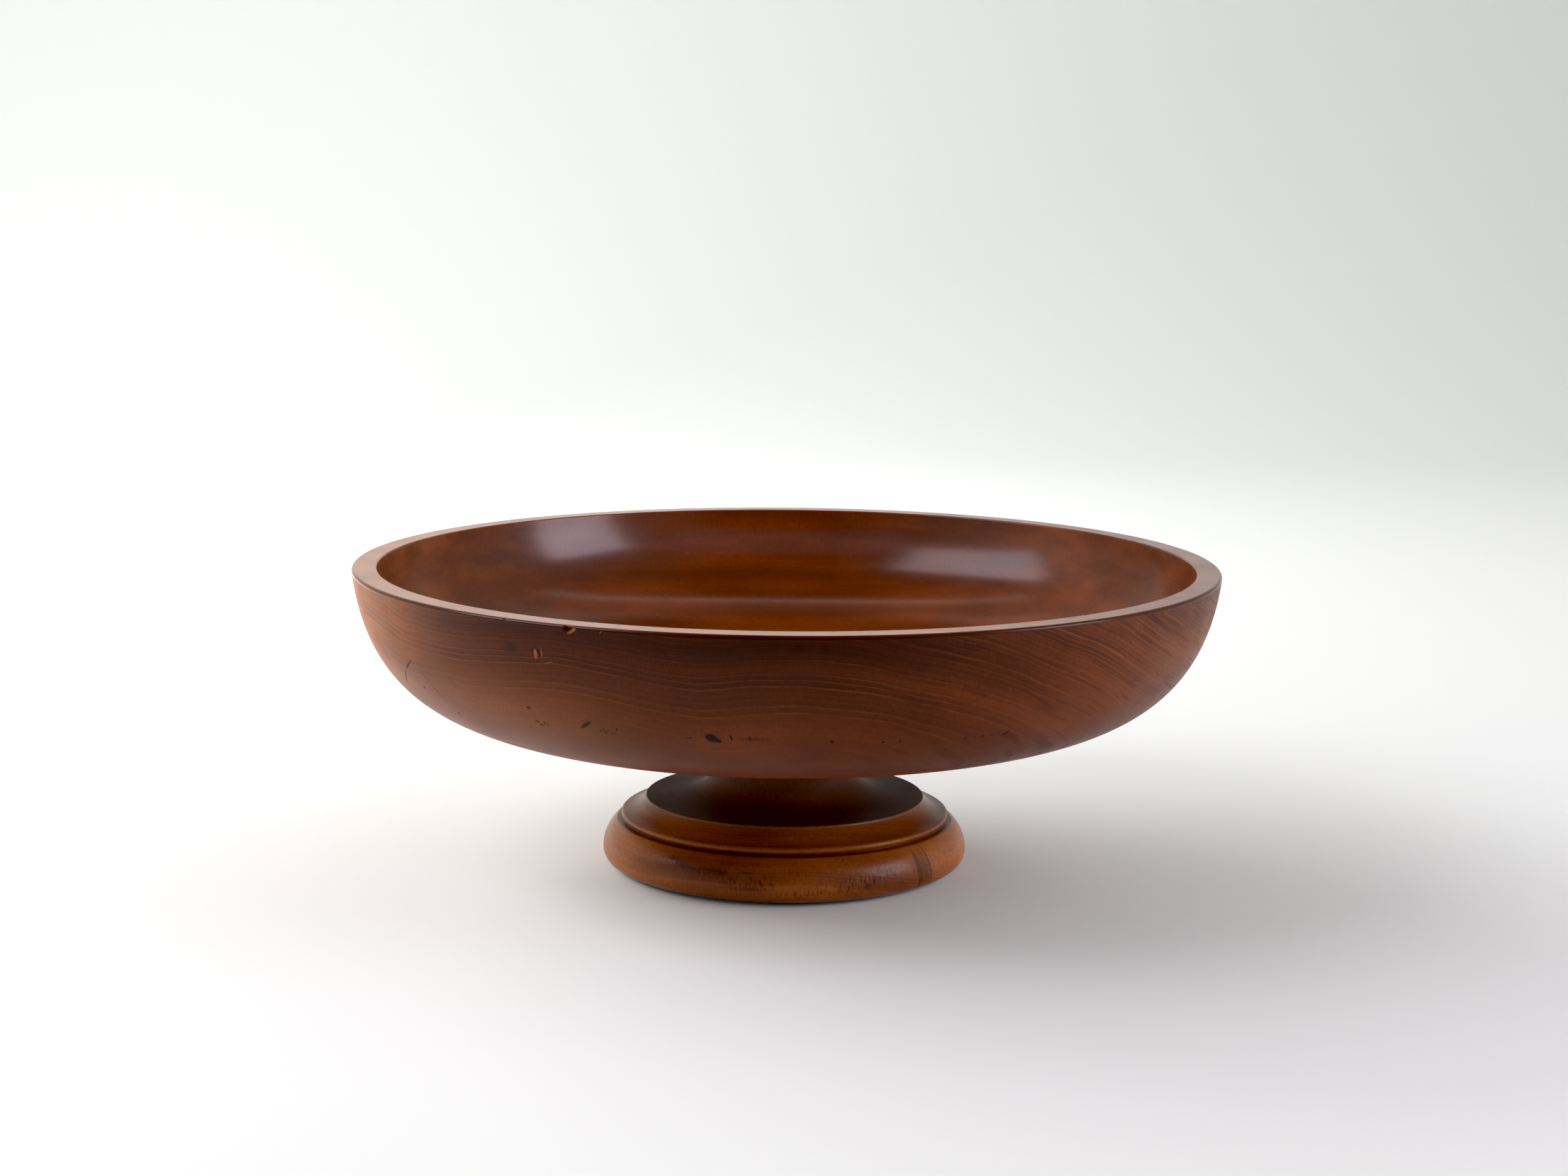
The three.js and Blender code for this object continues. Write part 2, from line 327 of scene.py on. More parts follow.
def bowl_profile(s):
    """Radius and height along the bowl's skin, from the socket under its seat, up the outside and into the floor.

    Outside and inside are cubic curves that leave the rim with the wall's lean and end level, joined by a flat rim
    with a quarter round at each edge.
    """
    lean = np.array((-math.sin(s.wall_lean), -math.cos(s.wall_lean)))
    foot = np.array((s.seat_radius, s.seat_height))
    brow = np.array((s.rim_radius, s.rim_height - s.outer_ease))
    outside = cubic(
        foot,
        foot + (s.outer_base_fullness * (brow[0] - foot[0]), 0.0),
        brow + lean * s.outer_wall_fullness * (brow[1] - foot[1]),
        brow,
        np.r_[np.linspace(0.0, 0.9, 56), np.linspace(0.9, 1.0, 46)[1:]],
    )
    inner = s.rim_radius - s.rim_width
    lip = np.array((inner, s.rim_height - s.inner_ease))
    base = np.array((s.floor_radius, s.floor_height))
    inside = cubic(
        lip,
        lip + lean * s.inner_wall_fullness * (lip[1] - base[1]),
        base + (s.inner_base_fullness * (lip[0] - base[0]), 0.0),
        base,
        64,
    )
    flat_out = s.rim_radius - s.outer_ease
    flat_in = inner + s.inner_ease
    return joined(
        (0.0, s.socket_top),
        level(s.socket_top, s.socket_radius * 0.5, s.socket_radius, 3),
        (s.socket_radius, s.seat_height),
        level(s.seat_height, s.socket_radius + 0.3 * MM, s.seat_radius, 8),
        outside,
        arc((flat_out, brow[1]), s.outer_ease, 0, 90, 9),
        level(s.rim_height, flat_out - 0.25 * MM, flat_in + 0.15 * MM, 8),
        arc((flat_in, lip[1]), s.inner_ease, 90, 180, 6),
        inside,
        level(s.floor_height, s.floor_radius, 1.5 * MM, 14),
        (0.0, s.floor_height),
    )


def foot_profile(s):
    """Radius and height along the foot's skin, from its underside up over the mouldings to the end of the spigot.

    In order: a quarter round, the torus as an arc through its setback, a sloping groove, a bead, a hollow moulding,
    the shoulder's edge, a flat sweep to the neck and the neck's flare.
    """
    widest = s.bottom + s.torus_lower
    radius = (s.torus_setback**2 + s.torus_upper**2) / (2 * s.torus_setback)
    rise = math.degrees(math.atan2(s.torus_upper, radius - s.torus_setback))
    torus = arc((s.torus_radius - radius, widest), radius, 0, rise, 40)
    lip = torus[-1]
    groove = (lip[0] - s.quirk_depth, lip[1] + s.quirk_width / 2)
    bead_at = (groove[0] + s.bead_overhang - s.bead_round, groove[1] + s.quirk_width / 2 + s.bead_round)
    bead = arc(bead_at, s.bead_round, -60, 90, 16)
    shoulder = bead[-1] + (-s.cavetto_run, s.cavetto_rise)
    under_shoulder = shoulder - (0.0, s.shoulder_edge)
    on_shoulder = shoulder - (s.shoulder_edge, 0.0)
    neck = np.array((s.neck_radius, shoulder[1] + s.cove_rise))
    cove = cubic(
        on_shoulder,
        on_shoulder - (0.68 * (on_shoulder[0] - neck[0]), 0.0),
        neck - (0.0, 0.7 * s.cove_rise),
        neck,
        40,
    )
    waist = (s.neck_radius, (neck[1] + s.top) / 2)
    inner_torus = s.torus_radius - s.torus_lower
    return joined(
        (0.0, s.bottom),
        level(s.bottom, 4 * MM, inner_torus - 0.3 * MM, 14),
        arc((inner_torus, widest), s.torus_lower, -90, 0, 16),
        torus,
        np.linspace(lip, groove, 6),
        np.linspace(groove, bead[0], 4),
        bead,
        hollow(bead[-1], under_shoulder, s.cavetto_dip, 20),
        arc((on_shoulder[0], under_shoulder[1]), s.shoulder_edge, 0, 90, 7),
        cove,
        cubic(neck, waist, waist, (s.neck_top, s.top), 24),
        level(s.top, s.neck_top - 0.2 * MM, s.spigot_radius, 5),
        (s.spigot_radius, s.spigot_top),
        level(s.spigot_top, s.spigot_radius - 0.2 * MM, 2 * MM, 3),
        (0.0, s.spigot_top),
    )


def feed(tree, socket, value):
    """Links a socket to a value that comes from a node, or sets a plain value on it."""
    if isinstance(value, bpy.types.NodeSocket):
        tree.links.new(value, socket)
    else:
        socket.default_value = value


def add(tree, kind, feeds=None, **settings):
    """A new node with its settings made and its inputs fed by name or place."""
    node = tree.nodes.new(kind)
    for key, value in settings.items():
        setattr(node, key, value)
    for key, value in (feeds or {}).items():
        feed(tree, node.inputs[key], value)
    return node


def calc(tree, operation, *values):
    """One arithmetic step on numbers that change over the surface."""
    return add(tree, "ShaderNodeMath", dict(enumerate(values)), operation=operation).outputs[0]


def times(tree, first, second):
    """The product of two numbers."""
    return calc(tree, "MULTIPLY", first, second)


def plus(tree, first, second):
    """The sum of two numbers."""
    return calc(tree, "ADD", first, second)


def minus(tree, first, second):
    """The first number less the second."""
    return calc(tree, "SUBTRACT", first, second)


def parts(tree, vector):
    """The three numbers of a vector."""
    return add(tree, "ShaderNodeSeparateXYZ", {0: vector}).outputs


def combined(tree, *numbers):
    """Three numbers as one vector."""
    return add(tree, "ShaderNodeCombineXYZ", dict(enumerate(numbers))).outputs[0]


def length(tree, vector):
    """How long a vector is."""
    return add(tree, "ShaderNodeVectorMath", {0: vector}, operation="LENGTH").outputs["Value"]


def ramp(tree, value, low, high, first=0.0, last=1.0):
    """Value carried smoothly from first at low to last at high, and held beyond them."""
    feeds = {"Value": value, "From Min": low, "From Max": high, "To Min": first, "To Max": last}
    return add(tree, "ShaderNodeMapRange", feeds, interpolation_type="SMOOTHSTEP").outputs["Result"]


def ramp_even(tree, value, low, high):
    """Value carried in a straight line from 0 at low to 1 at high, and held beyond them."""
    feeds = {"Value": value, "From Min": low, "From Max": high}
    return add(tree, "ShaderNodeMapRange", feeds).outputs["Result"]


def blend(tree, amount, below, above, how="MIX"):
    """Two colours mixed by an amount."""
    node = add(tree, "ShaderNodeMix", data_type="RGBA", blend_type=how, clamp_factor=True)
    for socket, value in zip((node.inputs[0], node.inputs[6], node.inputs[7]), (amount, below, above)):
        feed(tree, socket, value)
    return node.outputs[2]


def shaded(tree, amount, colour, value):
    """A colour times a number, by an amount."""
    return blend(tree, amount, colour, combined(tree, value, value, value), how="MULTIPLY")


def painted(tree, name):
    """The number that a piece carries under this name on its vertices."""
    return add(tree, "ShaderNodeAttribute", attribute_name=name, attribute_type="GEOMETRY").outputs["Fac"]


def stretched(tree, x, y, z):
    """Object coordinates in millimetres, times a factor along each axis."""
    place = add(tree, "ShaderNodeTexCoord").outputs["Object"]
    factors = (x / MM, y / MM, z / MM)
    return add(tree, "ShaderNodeVectorMath", {0: place, 1: factors}, operation="MULTIPLY").outputs[0]


def noise(tree, vector, detail=1.0, rough=0.5, scale=1.0):
    """Soft noise from 0 to 1 at the given coordinates."""
    feeds = {"Vector": vector, "Scale": scale, "Detail": detail, "Roughness": rough}
    return add(tree, "ShaderNodeTexNoise", feeds, noise_dimensions="3D").outputs["Fac"]


def grain(tree, x, y, z, detail=1.0, rough=0.5):
    """Soft noise on object coordinates in millimetres, times a factor along each axis."""
    return noise(tree, stretched(tree, x, y, z), detail, rough)


def noise_line(tree, number, detail=1.0, rough=0.5):
    """Soft noise from 0 to 1 along one number."""
    feeds = {"W": number, "Scale": 1.0, "Detail": detail, "Roughness": rough}
    return add(tree, "ShaderNodeTexNoise", feeds, noise_dimensions="1D").outputs["Fac"]


COLOUR_SOCKETS = ("Colour", "Worn", "Grime")


def new_group(name, takes, gives):
    """An empty shader node group with named sockets; returns the tree, its inputs and its exit."""
    tree = bpy.data.node_groups.new(name, "ShaderNodeTree")
    for way, labels in (("INPUT", takes), ("OUTPUT", gives)):
        for label in labels:
            kind = "NodeSocketColor" if label in COLOUR_SOCKETS else "NodeSocketFloat"
            tree.interface.new_socket(label, in_out=way, socket_type=kind)
    return tree, tree.nodes.new("NodeGroupInput").outputs, tree.nodes.new("NodeGroupOutput").inputs


def placed(tree, name, feeds):
    """The named group, built the first time, placed in a material with its own values; returns its outputs."""
    group = bpy.data.node_groups.get(name) or GROUPS[name](name)
    return add(tree, "ShaderNodeGroup", feeds, node_tree=group).outputs


# How the growth lines roll from left to right: place across the log from 0 to 1, and height, 0.5 being level.
WAVES = (
    (0.0, 0.95), (0.07, 0.68), (0.135, 0.42), (0.215, 0.50), (0.295, 0.60), (0.37, 0.50), (0.44, 0.45),
    (0.50, 0.50), (0.555, 0.54), (0.63, 0.50), (1.0, 0.50),
)


def draw_curve(node, points):
    """Gives a curve node its points: the first and last move, the rest are added between them."""
    curve = node.mapping.curves[0]
    curve.points[0].location = points[0]
    curve.points[1].location = points[-1]
    for x, y in points[1:-1]:
        curve.points.new(x, y)
    node.mapping.update()


def growth_layers(name):
    """Growth lines: layers wrapped round a log that lies along X above the bowl and ends in a dome on the left.

    Depth is the distance from that log in millimetres, bent by slow waves that die away downwards. Each spacing
    of depth is one layer: Late rises towards its end, Line is the thin pale line there, and Tone drifts over the
    layers.
    """
    takes, gives = ("Log Height", "Spacing", "Wander", "Waves"), ("Depth", "Line", "Late", "Tone")
    tree, take, give = new_group(name, takes, gives)
    place = parts(tree, stretched(tree, 1.0, 1.0, 1.0))
    dome = calc(tree, "SMOOTH_MIN", place[0], 0.0, 60.0)
    drop = minus(tree, place[2], take["Log Height"])
    reach = length(tree, combined(tree, dome, place[1], drop))
    slow = grain(tree, 0.016, 0.012, 0.012)
    fine = grain(tree, 0.07, 0.07, 0.04)
    bend = times(tree, minus(tree, slow, 0.5), take["Wander"])
    ripple = times(tree, minus(tree, fine, 0.5), 0.9)
    waves = add(tree, "ShaderNodeFloatCurve", {"Value": ramp_even(tree, place[0], -150.0, 150.0)})
    draw_curve(waves, WAVES)
    rolling = times(tree, minus(tree, waves.outputs[0], 0.5), take["Waves"])
    rolling = times(tree, rolling, ramp(tree, place[2], 62.0, 100.0, 0.35, 1.0))
    depth = plus(tree, plus(tree, reach, rolling), plus(tree, bend, ripple))
    count = calc(tree, "DIVIDE", depth, take["Spacing"])
    count = plus(tree, count, times(tree, noise_line(tree, times(tree, count, 0.40)), 1.1))
    beside = calc(tree, "PINGPONG", count, 0.5)
    which = {"W": calc(tree, "ROUND", count)}
    which = add(tree, "ShaderNodeTexWhiteNoise", which, noise_dimensions="1D").outputs["Value"]
    strength = ramp(tree, which, 0.0, 1.0, 0.30, 1.0)
    patchy = ramp(tree, grain(tree, 0.05, 0.05, 0.05), 0.35, 0.65, 0.45, 1.0)
    thin = ramp(tree, beside, 0.02, 0.17, 1.0, 0.0)
    late = ramp(tree, calc(tree, "FRACT", count), 0.30, 0.96)
    feed(tree, give["Depth"], depth)
    feed(tree, give["Line"], times(tree, thin, times(tree, strength, patchy)))
    feed(tree, give["Late"], times(tree, late, ramp(tree, which, 0.0, 1.0, 0.4, 1.0)))
    feed(tree, give["Tone"], noise_line(tree, times(tree, count, 0.13), detail=3.0, rough=0.6))
    return tree


def rays_and_pores(name):
    """Short upright marks: Ray is noise drawn out four times along Z, Pore the middles of scattered tall cells."""
    tree, take, give = new_group(name, ("Pore Share",), ("Ray", "Pore"))
    ray = grain(tree, 1.25, 1.25, 0.30)
    scattered = {"Vector": stretched(tree, 0.75, 0.75, 0.26), "Scale": 1.0, "Randomness": 1.0}
    cells = add(tree, "ShaderNodeTexVoronoi", scattered, voronoi_dimensions="3D").outputs
    middle = ramp(tree, cells["Distance"], 0.10, 0.24, 1.0, 0.0)
    pick = add(tree, "ShaderNodeSeparateColor", {0: cells["Color"]}).outputs[0]
    chosen = calc(tree, "LESS_THAN", pick, take["Pore Share"])
    feed(tree, give["Ray"], ramp(tree, ray, 0.34, 0.70))
    feed(tree, give["Pore"], times(tree, middle, chosen))
    return tree


def drawn_pores(name):
    """Dark streaks that follow the growth lines: noise squeezed across Depth and drawn out along the log."""
    tree, take, give = new_group(name, ("Depth",), ("Dash",))
    place = parts(tree, stretched(tree, 0.045, 0.045, 0.02))
    squeezed = combined(tree, place[0], place[1], times(tree, take["Depth"], 0.85))
    feed(tree, give["Dash"], ramp(tree, noise(tree, squeezed, detail=2.0, rough=0.55), 0.50, 0.72))
    return tree


def edge_wear_and_painted_light(name):
    """Worn edges with a painted reflection turn paler where the edge layer and a broken noise agree; recesses take
    painted shade.
    """
    tree, take, give = new_group(name, ("Colour", "Worn", "Grime"), ("Colour",))
    broken = ramp(tree, grain(tree, 0.03, 0.20, 0.30, detail=3.0, rough=0.6), 0.34, 0.62, 0.35, 1.0)
    pale_edge = times(tree, painted(tree, "edge"), broken)
    colour = blend(tree, pale_edge, take["Colour"], take["Worn"])
    feed(tree, give["Colour"], blend(tree, painted(tree, "recess"), colour, take["Grime"]))
    return tree


GROUPS = {
    "Growth Layers": growth_layers,
    "Rays and Pores": rays_and_pores,
    "Drawn Pores": drawn_pores,
    "Handling": edge_wear_and_painted_light,
}


def new_material(name):
    """A material with an empty Principled surface; returns the material, its tree and the shader's inputs."""
    material = bpy.data.materials.new(name)
    material.use_nodes = True
    tree = material.node_tree
    tree.nodes.clear()
    shader = tree.nodes.new("ShaderNodeBsdfPrincipled")
    exit_node = tree.nodes.new("ShaderNodeOutputMaterial")
    tree.links.new(shader.outputs[0], exit_node.inputs["Surface"])
    return material, tree, shader.inputs


def opaque(colour):
    """A colour property with its alpha."""
    return (colour[0], colour[1], colour[2], 1.0)


# Marks by kind: turn in degrees, height, half length and half width in millimetres, tilt in degrees.
BOWL_MARKS = {
    "dark": (
        (-33.8, 78.4, 1.02, 0.41, -4), (-33.4, 73.9, 0.90, 0.36, -18), (-33.0, 72.7, 0.84, 0.38, 0),
        (-32.3, 73.6, 0.54, 0.43, 30), (-31.95, 72.9, 0.78, 0.27, -35), (-25.8, 74.9, 3.00, 0.61, 30),
        (-23.9, 73.2, 0.42, 0.34, 0), (-23.4, 73.9, 0.42, 0.30, 30), (-23.3, 73.0, 0.36, 0.34, 0),
        (-22.9, 73.5, 0.42, 0.30, 20), (-22.4, 72.7, 0.42, 0.34, 0), (-21.9, 72.9, 0.36, 0.30, 0),
        (-21.5, 74.3, 0.60, 0.27, 50), (-12.4, 73.2, 0.54, 0.19, 50), (-12.1, 73.2, 0.54, 0.19, 50),
        (-11.8, 73.3, 0.54, 0.19, 50), (-9.2, 73.6, 2.10, 1.55, -22), (-8.4, 72.7, 1.32, 0.81, -20),
        (-6.7, 73.9, 1.14, 0.38, 105), (-4.4, 73.8, 1.08, 0.27, 95), (5.9, 72.8, 0.72, 0.47, -40),
        (12.4, 72.3, 0.60, 0.34, 20), (14.6, 72.2, 0.60, 0.34, 20), (23.6, 71.9, 0.66, 0.27, 25),
        (24.9, 72.0, 0.60, 0.24, 25), (26.1, 72.1, 0.72, 0.27, 25), (27.4, 72.2, 0.60, 0.24, 25),
        (29.5, 72.4, 1.32, 0.35, 32), (-57.1, 84.0, 4.90, 0.32, 27), (-60.3, 78.9, 5.00, 0.30, 36),
        (-52.5, 79.0, 10.0, 0.16, -52), (-55.5, 77.0, 0.80, 0.45, 30), (-50.2, 70.0, 0.90, 0.45, 40),
        (-34.7, 106.6, 0.85, 0.28, 40), (-30.05, 97.3, 1.40, 0.18, 100), (-26.1, 105.9, 0.90, 0.40, 30),
    ),
    "pale": (
        (-30.6, 97.1, 1.60, 0.70, 92), (-29.7, 97.6, 1.35, 0.20, 102), (-25.3, 105.5, 1.75, 0.55, 33),
        (-28.9, 94.7, 1.45, 0.11, 14), (-21.5, 106.0, 0.75, 0.10, 48),
    ),
    "soft": (
        (-34.2, 98.3, 3.4, 2.3, 0), (-9.0, 73.4, 3.6, 2.0, -12), (-4.0, 73.6, 6.5, 0.9, 0),
        (1.5, 103.5, 4.0, 1.6, 0), (4.5, 103.0, 1.6, 2.2, 0), (38.8, 62.5, 4.0, 1.2, 20),
        (61.6, 76.0, 4.5, 1.3, 30),
    ),
}
FOOT_MARKS = {
    "dark": (
        (46.0, 8.5, 8.5, 1.3, 97), (51.2, 8.5, 8.5, 0.5, 97), (-11.0, 11.6, 3.2, 0.22, 0),
    ),
    "soft": (
        (48.6, 8.5, 9.0, 3.6, 97), (-33.0, 12.3, 6.5, 1.4, -10), (-21.0, 11.3, 7.5, 1.2, -5),
        (-12.0, 6.5, 12.0, 1.0, 0),
    ),
    "mottled": (
        (-36.0, 12.2, 7.0, 2.0, -8), (-24.0, 10.8, 9.5, 2.6, -4), (-9.0, 8.6, 13.0, 3.0, 0),
        (8.0, 5.5, 9.0, 1.6, 0), (24.0, 8.0, 12.0, 3.8, 8), (32.0, 9.5, 6.0, 2.6, 0),
    ),
}
# How deep a mark reaches into the wood, in millimetres.
MARK_DEPTH = 7.0


def mark_distance(tree, places, unroll):
    """How far the surface is from the nearest mark, in half sizes, on the wall unrolled to turn, height and radius.

    Each place holds the mark's centre on that unrolled wall in millimetres, its half sizes and its tilt. The zero
    product with the nearest so far adds nothing: it has the marks worked one after another, in little shader
    memory.
    """
    at = parts(tree, stretched(tree, 1.0, 1.0, 1.0))
    angle = calc(tree, "ARCTAN2", at[0], times(tree, at[1], -1.0))
    radius = length(tree, combined(tree, at[0], at[1], 0.0))
    unrolled = combined(tree, times(tree, angle, unroll), at[2], radius)
    nearest = radius
    for centre, size, tilt in places:
        in_turn = {0: nearest, 1: (0.0, 0.0, 0.0), 2: unrolled}
        here = add(tree, "ShaderNodeVectorMath", in_turn, operation="MULTIPLY_ADD").outputs[0]
        feeds = {"Vector": here, "Location": centre, "Rotation": (0.0, 0.0, tilt), "Scale": size}
        local = add(tree, "ShaderNodeMapping", feeds, vector_type="TEXTURE").outputs[0]
        nearest = calc(tree, "MINIMUM", nearest, length(tree, local))
    return nearest


def skin_places(wall, unroll, marks):
    """Centres, half sizes and tilts of marks on a wall given as radius and height, which rises all the way."""
    table = np.array(marks, float)
    radius = np.interp(table[:, 1], wall[:, 1] / MM, wall[:, 0] / MM)
    around = np.radians(table[:, 0]) * unroll
    return [
        ((u, height, r), (long, wide, MARK_DEPTH), math.radians(tilt))
        for u, r, (_, height, long, wide, tilt) in zip(around, radius, table.tolist())
    ]


def scaled(colour, factor):
    """A colour made darker or lighter, with its alpha."""
    return opaque([min(c * factor, 1.0) for c in colour])


def emboss(tree, shader, strength, depth, height):
    """Raises and sinks the surface by a height that changes over it."""
    bump = add(tree, "ShaderNodeBump", {"Strength": strength, "Distance": depth, "Height": height})
    feed(tree, shader["Normal"], bump.outputs[0])


# How strongly the wood shows its figure and its wear, from 0 for not at all to 1 for fully.
LATE_WOOD = 0.38
PALE_LINE = 0.55
OPEN_PORE = 0.16
SMUDGE = 0.50
FLECK = 0.72
BARE_WOOD = 0.55
# What the painted shade does to the colour, how sharp the wax is and how far the bare wood shines.
PAINTED_SHADE_TINT = (0.30, 0.24, 0.18, 1.0)
WAX_ROUGHNESS = 0.18
WOOD_GLOSS = 0.2


def timber(name, tones, log, unroll, marks, darkness):
    """Waxed red-brown hardwood: layers that darken and end in a thin pale line, drifting tones, rays and pores.

    tones holds the deep, main and line colours, the golden colour of golden wood and painted side light, and
    the colour of painted shade in recesses; log holds the values of its growth layers. marks holds, by kind,
    the places of dark, pale, soft and mottled marks on the wall unrolled at the given radius, and darkness is
    how black the dark ones are.
    """
    deep, body, line, gold, grime = tones
    dark = scaled(deep, 0.18)
    material, tree, shader = new_material(name)
    layers = placed(tree, "Growth Layers", log)
    upright = placed(tree, "Rays and Pores", {"Pore Share": 0.45})
    drawn = placed(tree, "Drawn Pores", {"Depth": layers["Depth"]})
    figure = painted(tree, "figure")

    # Drifting tones, golden patches of wood and of painted side light, dark late wood and pale growth lines.
    cloud = grain(tree, 0.022, 0.030, 0.030, detail=3.0)
    swing = ramp_even(tree, figure, -0.3, 1.0)
    tone = calc(tree, "MULTIPLY_ADD", minus(tree, layers["Tone"], 0.5), swing, 0.5)
    drift = plus(tree, times(tree, tone, 1.2), times(tree, cloud, 0.8))
    colour = blend(tree, ramp(tree, drift, 0.62, 1.38), opaque(deep), opaque(body))
    broken = ramp(tree, grain(tree, 0.04, 0.018, 0.10, detail=3.0), 0.34, 0.62, 0.52, 0.88)
    # Golden colour where the wood is golden, and painted where side light falls on the bowl's ends and the foot's
    # left.
    colour = blend(tree, times(tree, painted(tree, "gold"), broken), colour, opaque(gold))
    late = times(tree, layers["Late"], times(tree, figure, LATE_WOOD))
    colour = blend(tree, late, colour, scaled(deep, 0.55))
    fine = times(tree, layers["Line"], times(tree, figure, PALE_LINE))
    colour = blend(tree, fine, colour, opaque(line))

    # Fine rays, long streaks along the log, pores, painted shade, worn edges with a painted reflection and painted
    # shade in recesses.
    colour = shaded(tree, 1.0, colour, ramp(tree, upright["Ray"], 0.0, 1.0, 0.93, 1.06))
    streaks = ramp(tree, grain(tree, 0.006, 0.06, 0.16, detail=3.0), 0.36, 0.64, 0.80, 1.16)
    colour = shaded(tree, painted(tree, "band"), colour, streaks)
    dash = times(tree, drawn["Dash"], painted(tree, "streak"))
    pits = calc(tree, "MAXIMUM", times(tree, upright["Pore"], OPEN_PORE), dash)
    colour = blend(tree, pits, colour, dark)
    # Painted shade, multiplied into the colour where its layer is painted.
    colour = blend(tree, painted(tree, "heart"), colour, PAINTED_SHADE_TINT, how="MULTIPLY")
    # The paler edges are rubbed wear with a painted reflection; the recess colour is painted shade.
    used = {"Colour": colour, "Worn": scaled(line, 1.2), "Grime": opaque(grime)}
    colour = placed(tree, "Handling", used)["Colour"]

    # Smudges, flecks, bare wood and dark dents.
    if "soft" in marks:
        smudge = ramp(tree, mark_distance(tree, marks["soft"], unroll), 0.2, 1.15, SMUDGE, 0.0)
        colour = blend(tree, smudge, colour, dark)
    if "mottled" in marks:
        patch = ramp(tree, mark_distance(tree, marks["mottled"], unroll), 0.35, 1.1, 1.0, 0.22)
        speck = ramp(tree, grain(tree, 1.15, 1.15, 0.40, detail=3.0, rough=0.65), 0.48, 0.62)
        peck = times(tree, patch, speck)
        colour = blend(tree, times(tree, peck, FLECK), colour, dark)
        pits = calc(tree, "MAXIMUM", pits, times(tree, peck, 0.5))
    if "pale" in marks:
        raw = ramp(tree, mark_distance(tree, marks["pale"], unroll), 0.75, 1.15, BARE_WOOD, 0.0)
        colour = blend(tree, raw, colour, scaled(line, 1.3))
    struck = ramp(tree, mark_distance(tree, marks["dark"], unroll), 0.65, 1.2, 1.0, 0.0)
    colour = blend(tree, times(tree, struck, darkness), colour, dark)
    pits = calc(tree, "MAXIMUM", pits, times(tree, struck, 0.7))

    feed(tree, shader["Base Color"], colour)
    patchy = ramp(tree, grain(tree, 0.05, 0.05, 0.05, detail=3.0), 0.3, 0.7, -0.03, 0.04)
    rough = plus(tree, painted(tree, "matt"), plus(tree, patchy, times(tree, pits, 0.2)))
    feed(tree, shader["Roughness"], rough)
    relief = minus(tree, times(tree, fine, 0.18), pits)
    emboss(tree, shader, 0.4, 0.10 * MM, plus(tree, relief, times(tree, upright["Ray"], 0.06)))
    feed(tree, shader["Coat Weight"], painted(tree, "wax"))
    shader["Coat Roughness"].default_value = WAX_ROUGHNESS
    shader["Specular IOR Level"].default_value = WOOD_GLOSS
    return material


def brass(look):
    """Dull brass: broad brown tarnish over yellow metal, with fine drawn scratches in its roughness."""
    material, tree, shader = new_material("Dull Brass")
    stain = ramp(tree, grain(tree, 0.5, 0.5, 0.5, detail=4.0, rough=0.6), 0.40, 0.68)
    dull = opaque([c * f for c, f in zip(look.colour, (0.45, 0.38, 0.30))])
    feed(tree, shader["Base Color"], blend(tree, stain, opaque(look.colour), dull))
    scratch = grain(tree, 6.0, 0.8, 6.0, detail=2.0)
    feed(tree, shader["Roughness"], ramp(tree, plus(tree, scratch, stain), 0.4, 1.6, 0.26, 0.55))
    emboss(tree, shader, 0.3, 0.05 * MM, scratch)
    shader["Metallic"].default_value = 1.0
    return material


def baize_cloth(look):
    """Green felted wool: tangled fibre noise in colour and relief, with lint and a soft sheen."""
    material, tree, shader = new_material("Green Baize")
    tangle = grain(tree, 2.2, 2.2, 2.2, detail=4.0, rough=0.7)
    patch = grain(tree, 0.09, 0.09, 0.09, detail=2.0)
    lint = ramp(tree, grain(tree, 0.9, 3.5, 2.0, detail=2.0), 0.66, 0.74)
    mix = ramp(tree, plus(tree, tangle, times(tree, patch, 0.6)), 0.5, 1.1)
    colour = blend(tree, mix, scaled(look.colour, 0.5), scaled(look.colour, 1.5))
    colour = blend(tree, times(tree, lint, 0.3), colour, (0.10, 0.14, 0.10, 1.0))
    feed(tree, shader["Base Color"], colour)
    feed(tree, shader["Roughness"], ramp(tree, tangle, 0.2, 0.8, 0.86, 1.0))
    emboss(tree, shader, 0.8, 0.25 * MM, tangle)
    shader["Sheen Weight"].default_value = 0.15
    shader["Sheen Roughness"].default_value = 0.5
    return material


def matt_sheet(name, first, second, rough, **mottle):
    """A matt finish of the stage: two near colours and a roughness that follow one soft mottle."""
    material, tree, shader = new_material(name)
    place = add(tree, "ShaderNodeTexCoord").outputs["Object"]
    soft = noise(tree, place, **mottle)
    feed(tree, shader["Base Color"], blend(tree, soft, first, second))
    feed(tree, shader["Roughness"], ramp(tree, soft, 0.3, 0.7, *rough))
    return material, tree, shader


def dress(piece, node, material):
    """The piece takes a node's place and its finish."""
    piece.data.materials.append(material)
    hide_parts(node)


TONES = ("deep", "body", "line", "gold", "grime")


def clad(piece, node, look, wall, radius, marks, log, darkness):
    """Gives a turned piece its wood, with marks on the wall, which is unrolled at the given radius."""
    unroll = radius / MM
    places = {kind: skin_places(wall, unroll, rows) for kind, rows in marks.items()}
    tones = [getattr(look, f"{node}_{tone}") for tone in TONES]
    log = {"Spacing": getattr(look, f"{node}_spacing") / MM, **log}
    dress(piece, node, timber(f"{node.title()} Timber", tones, log, unroll, places, darkness))


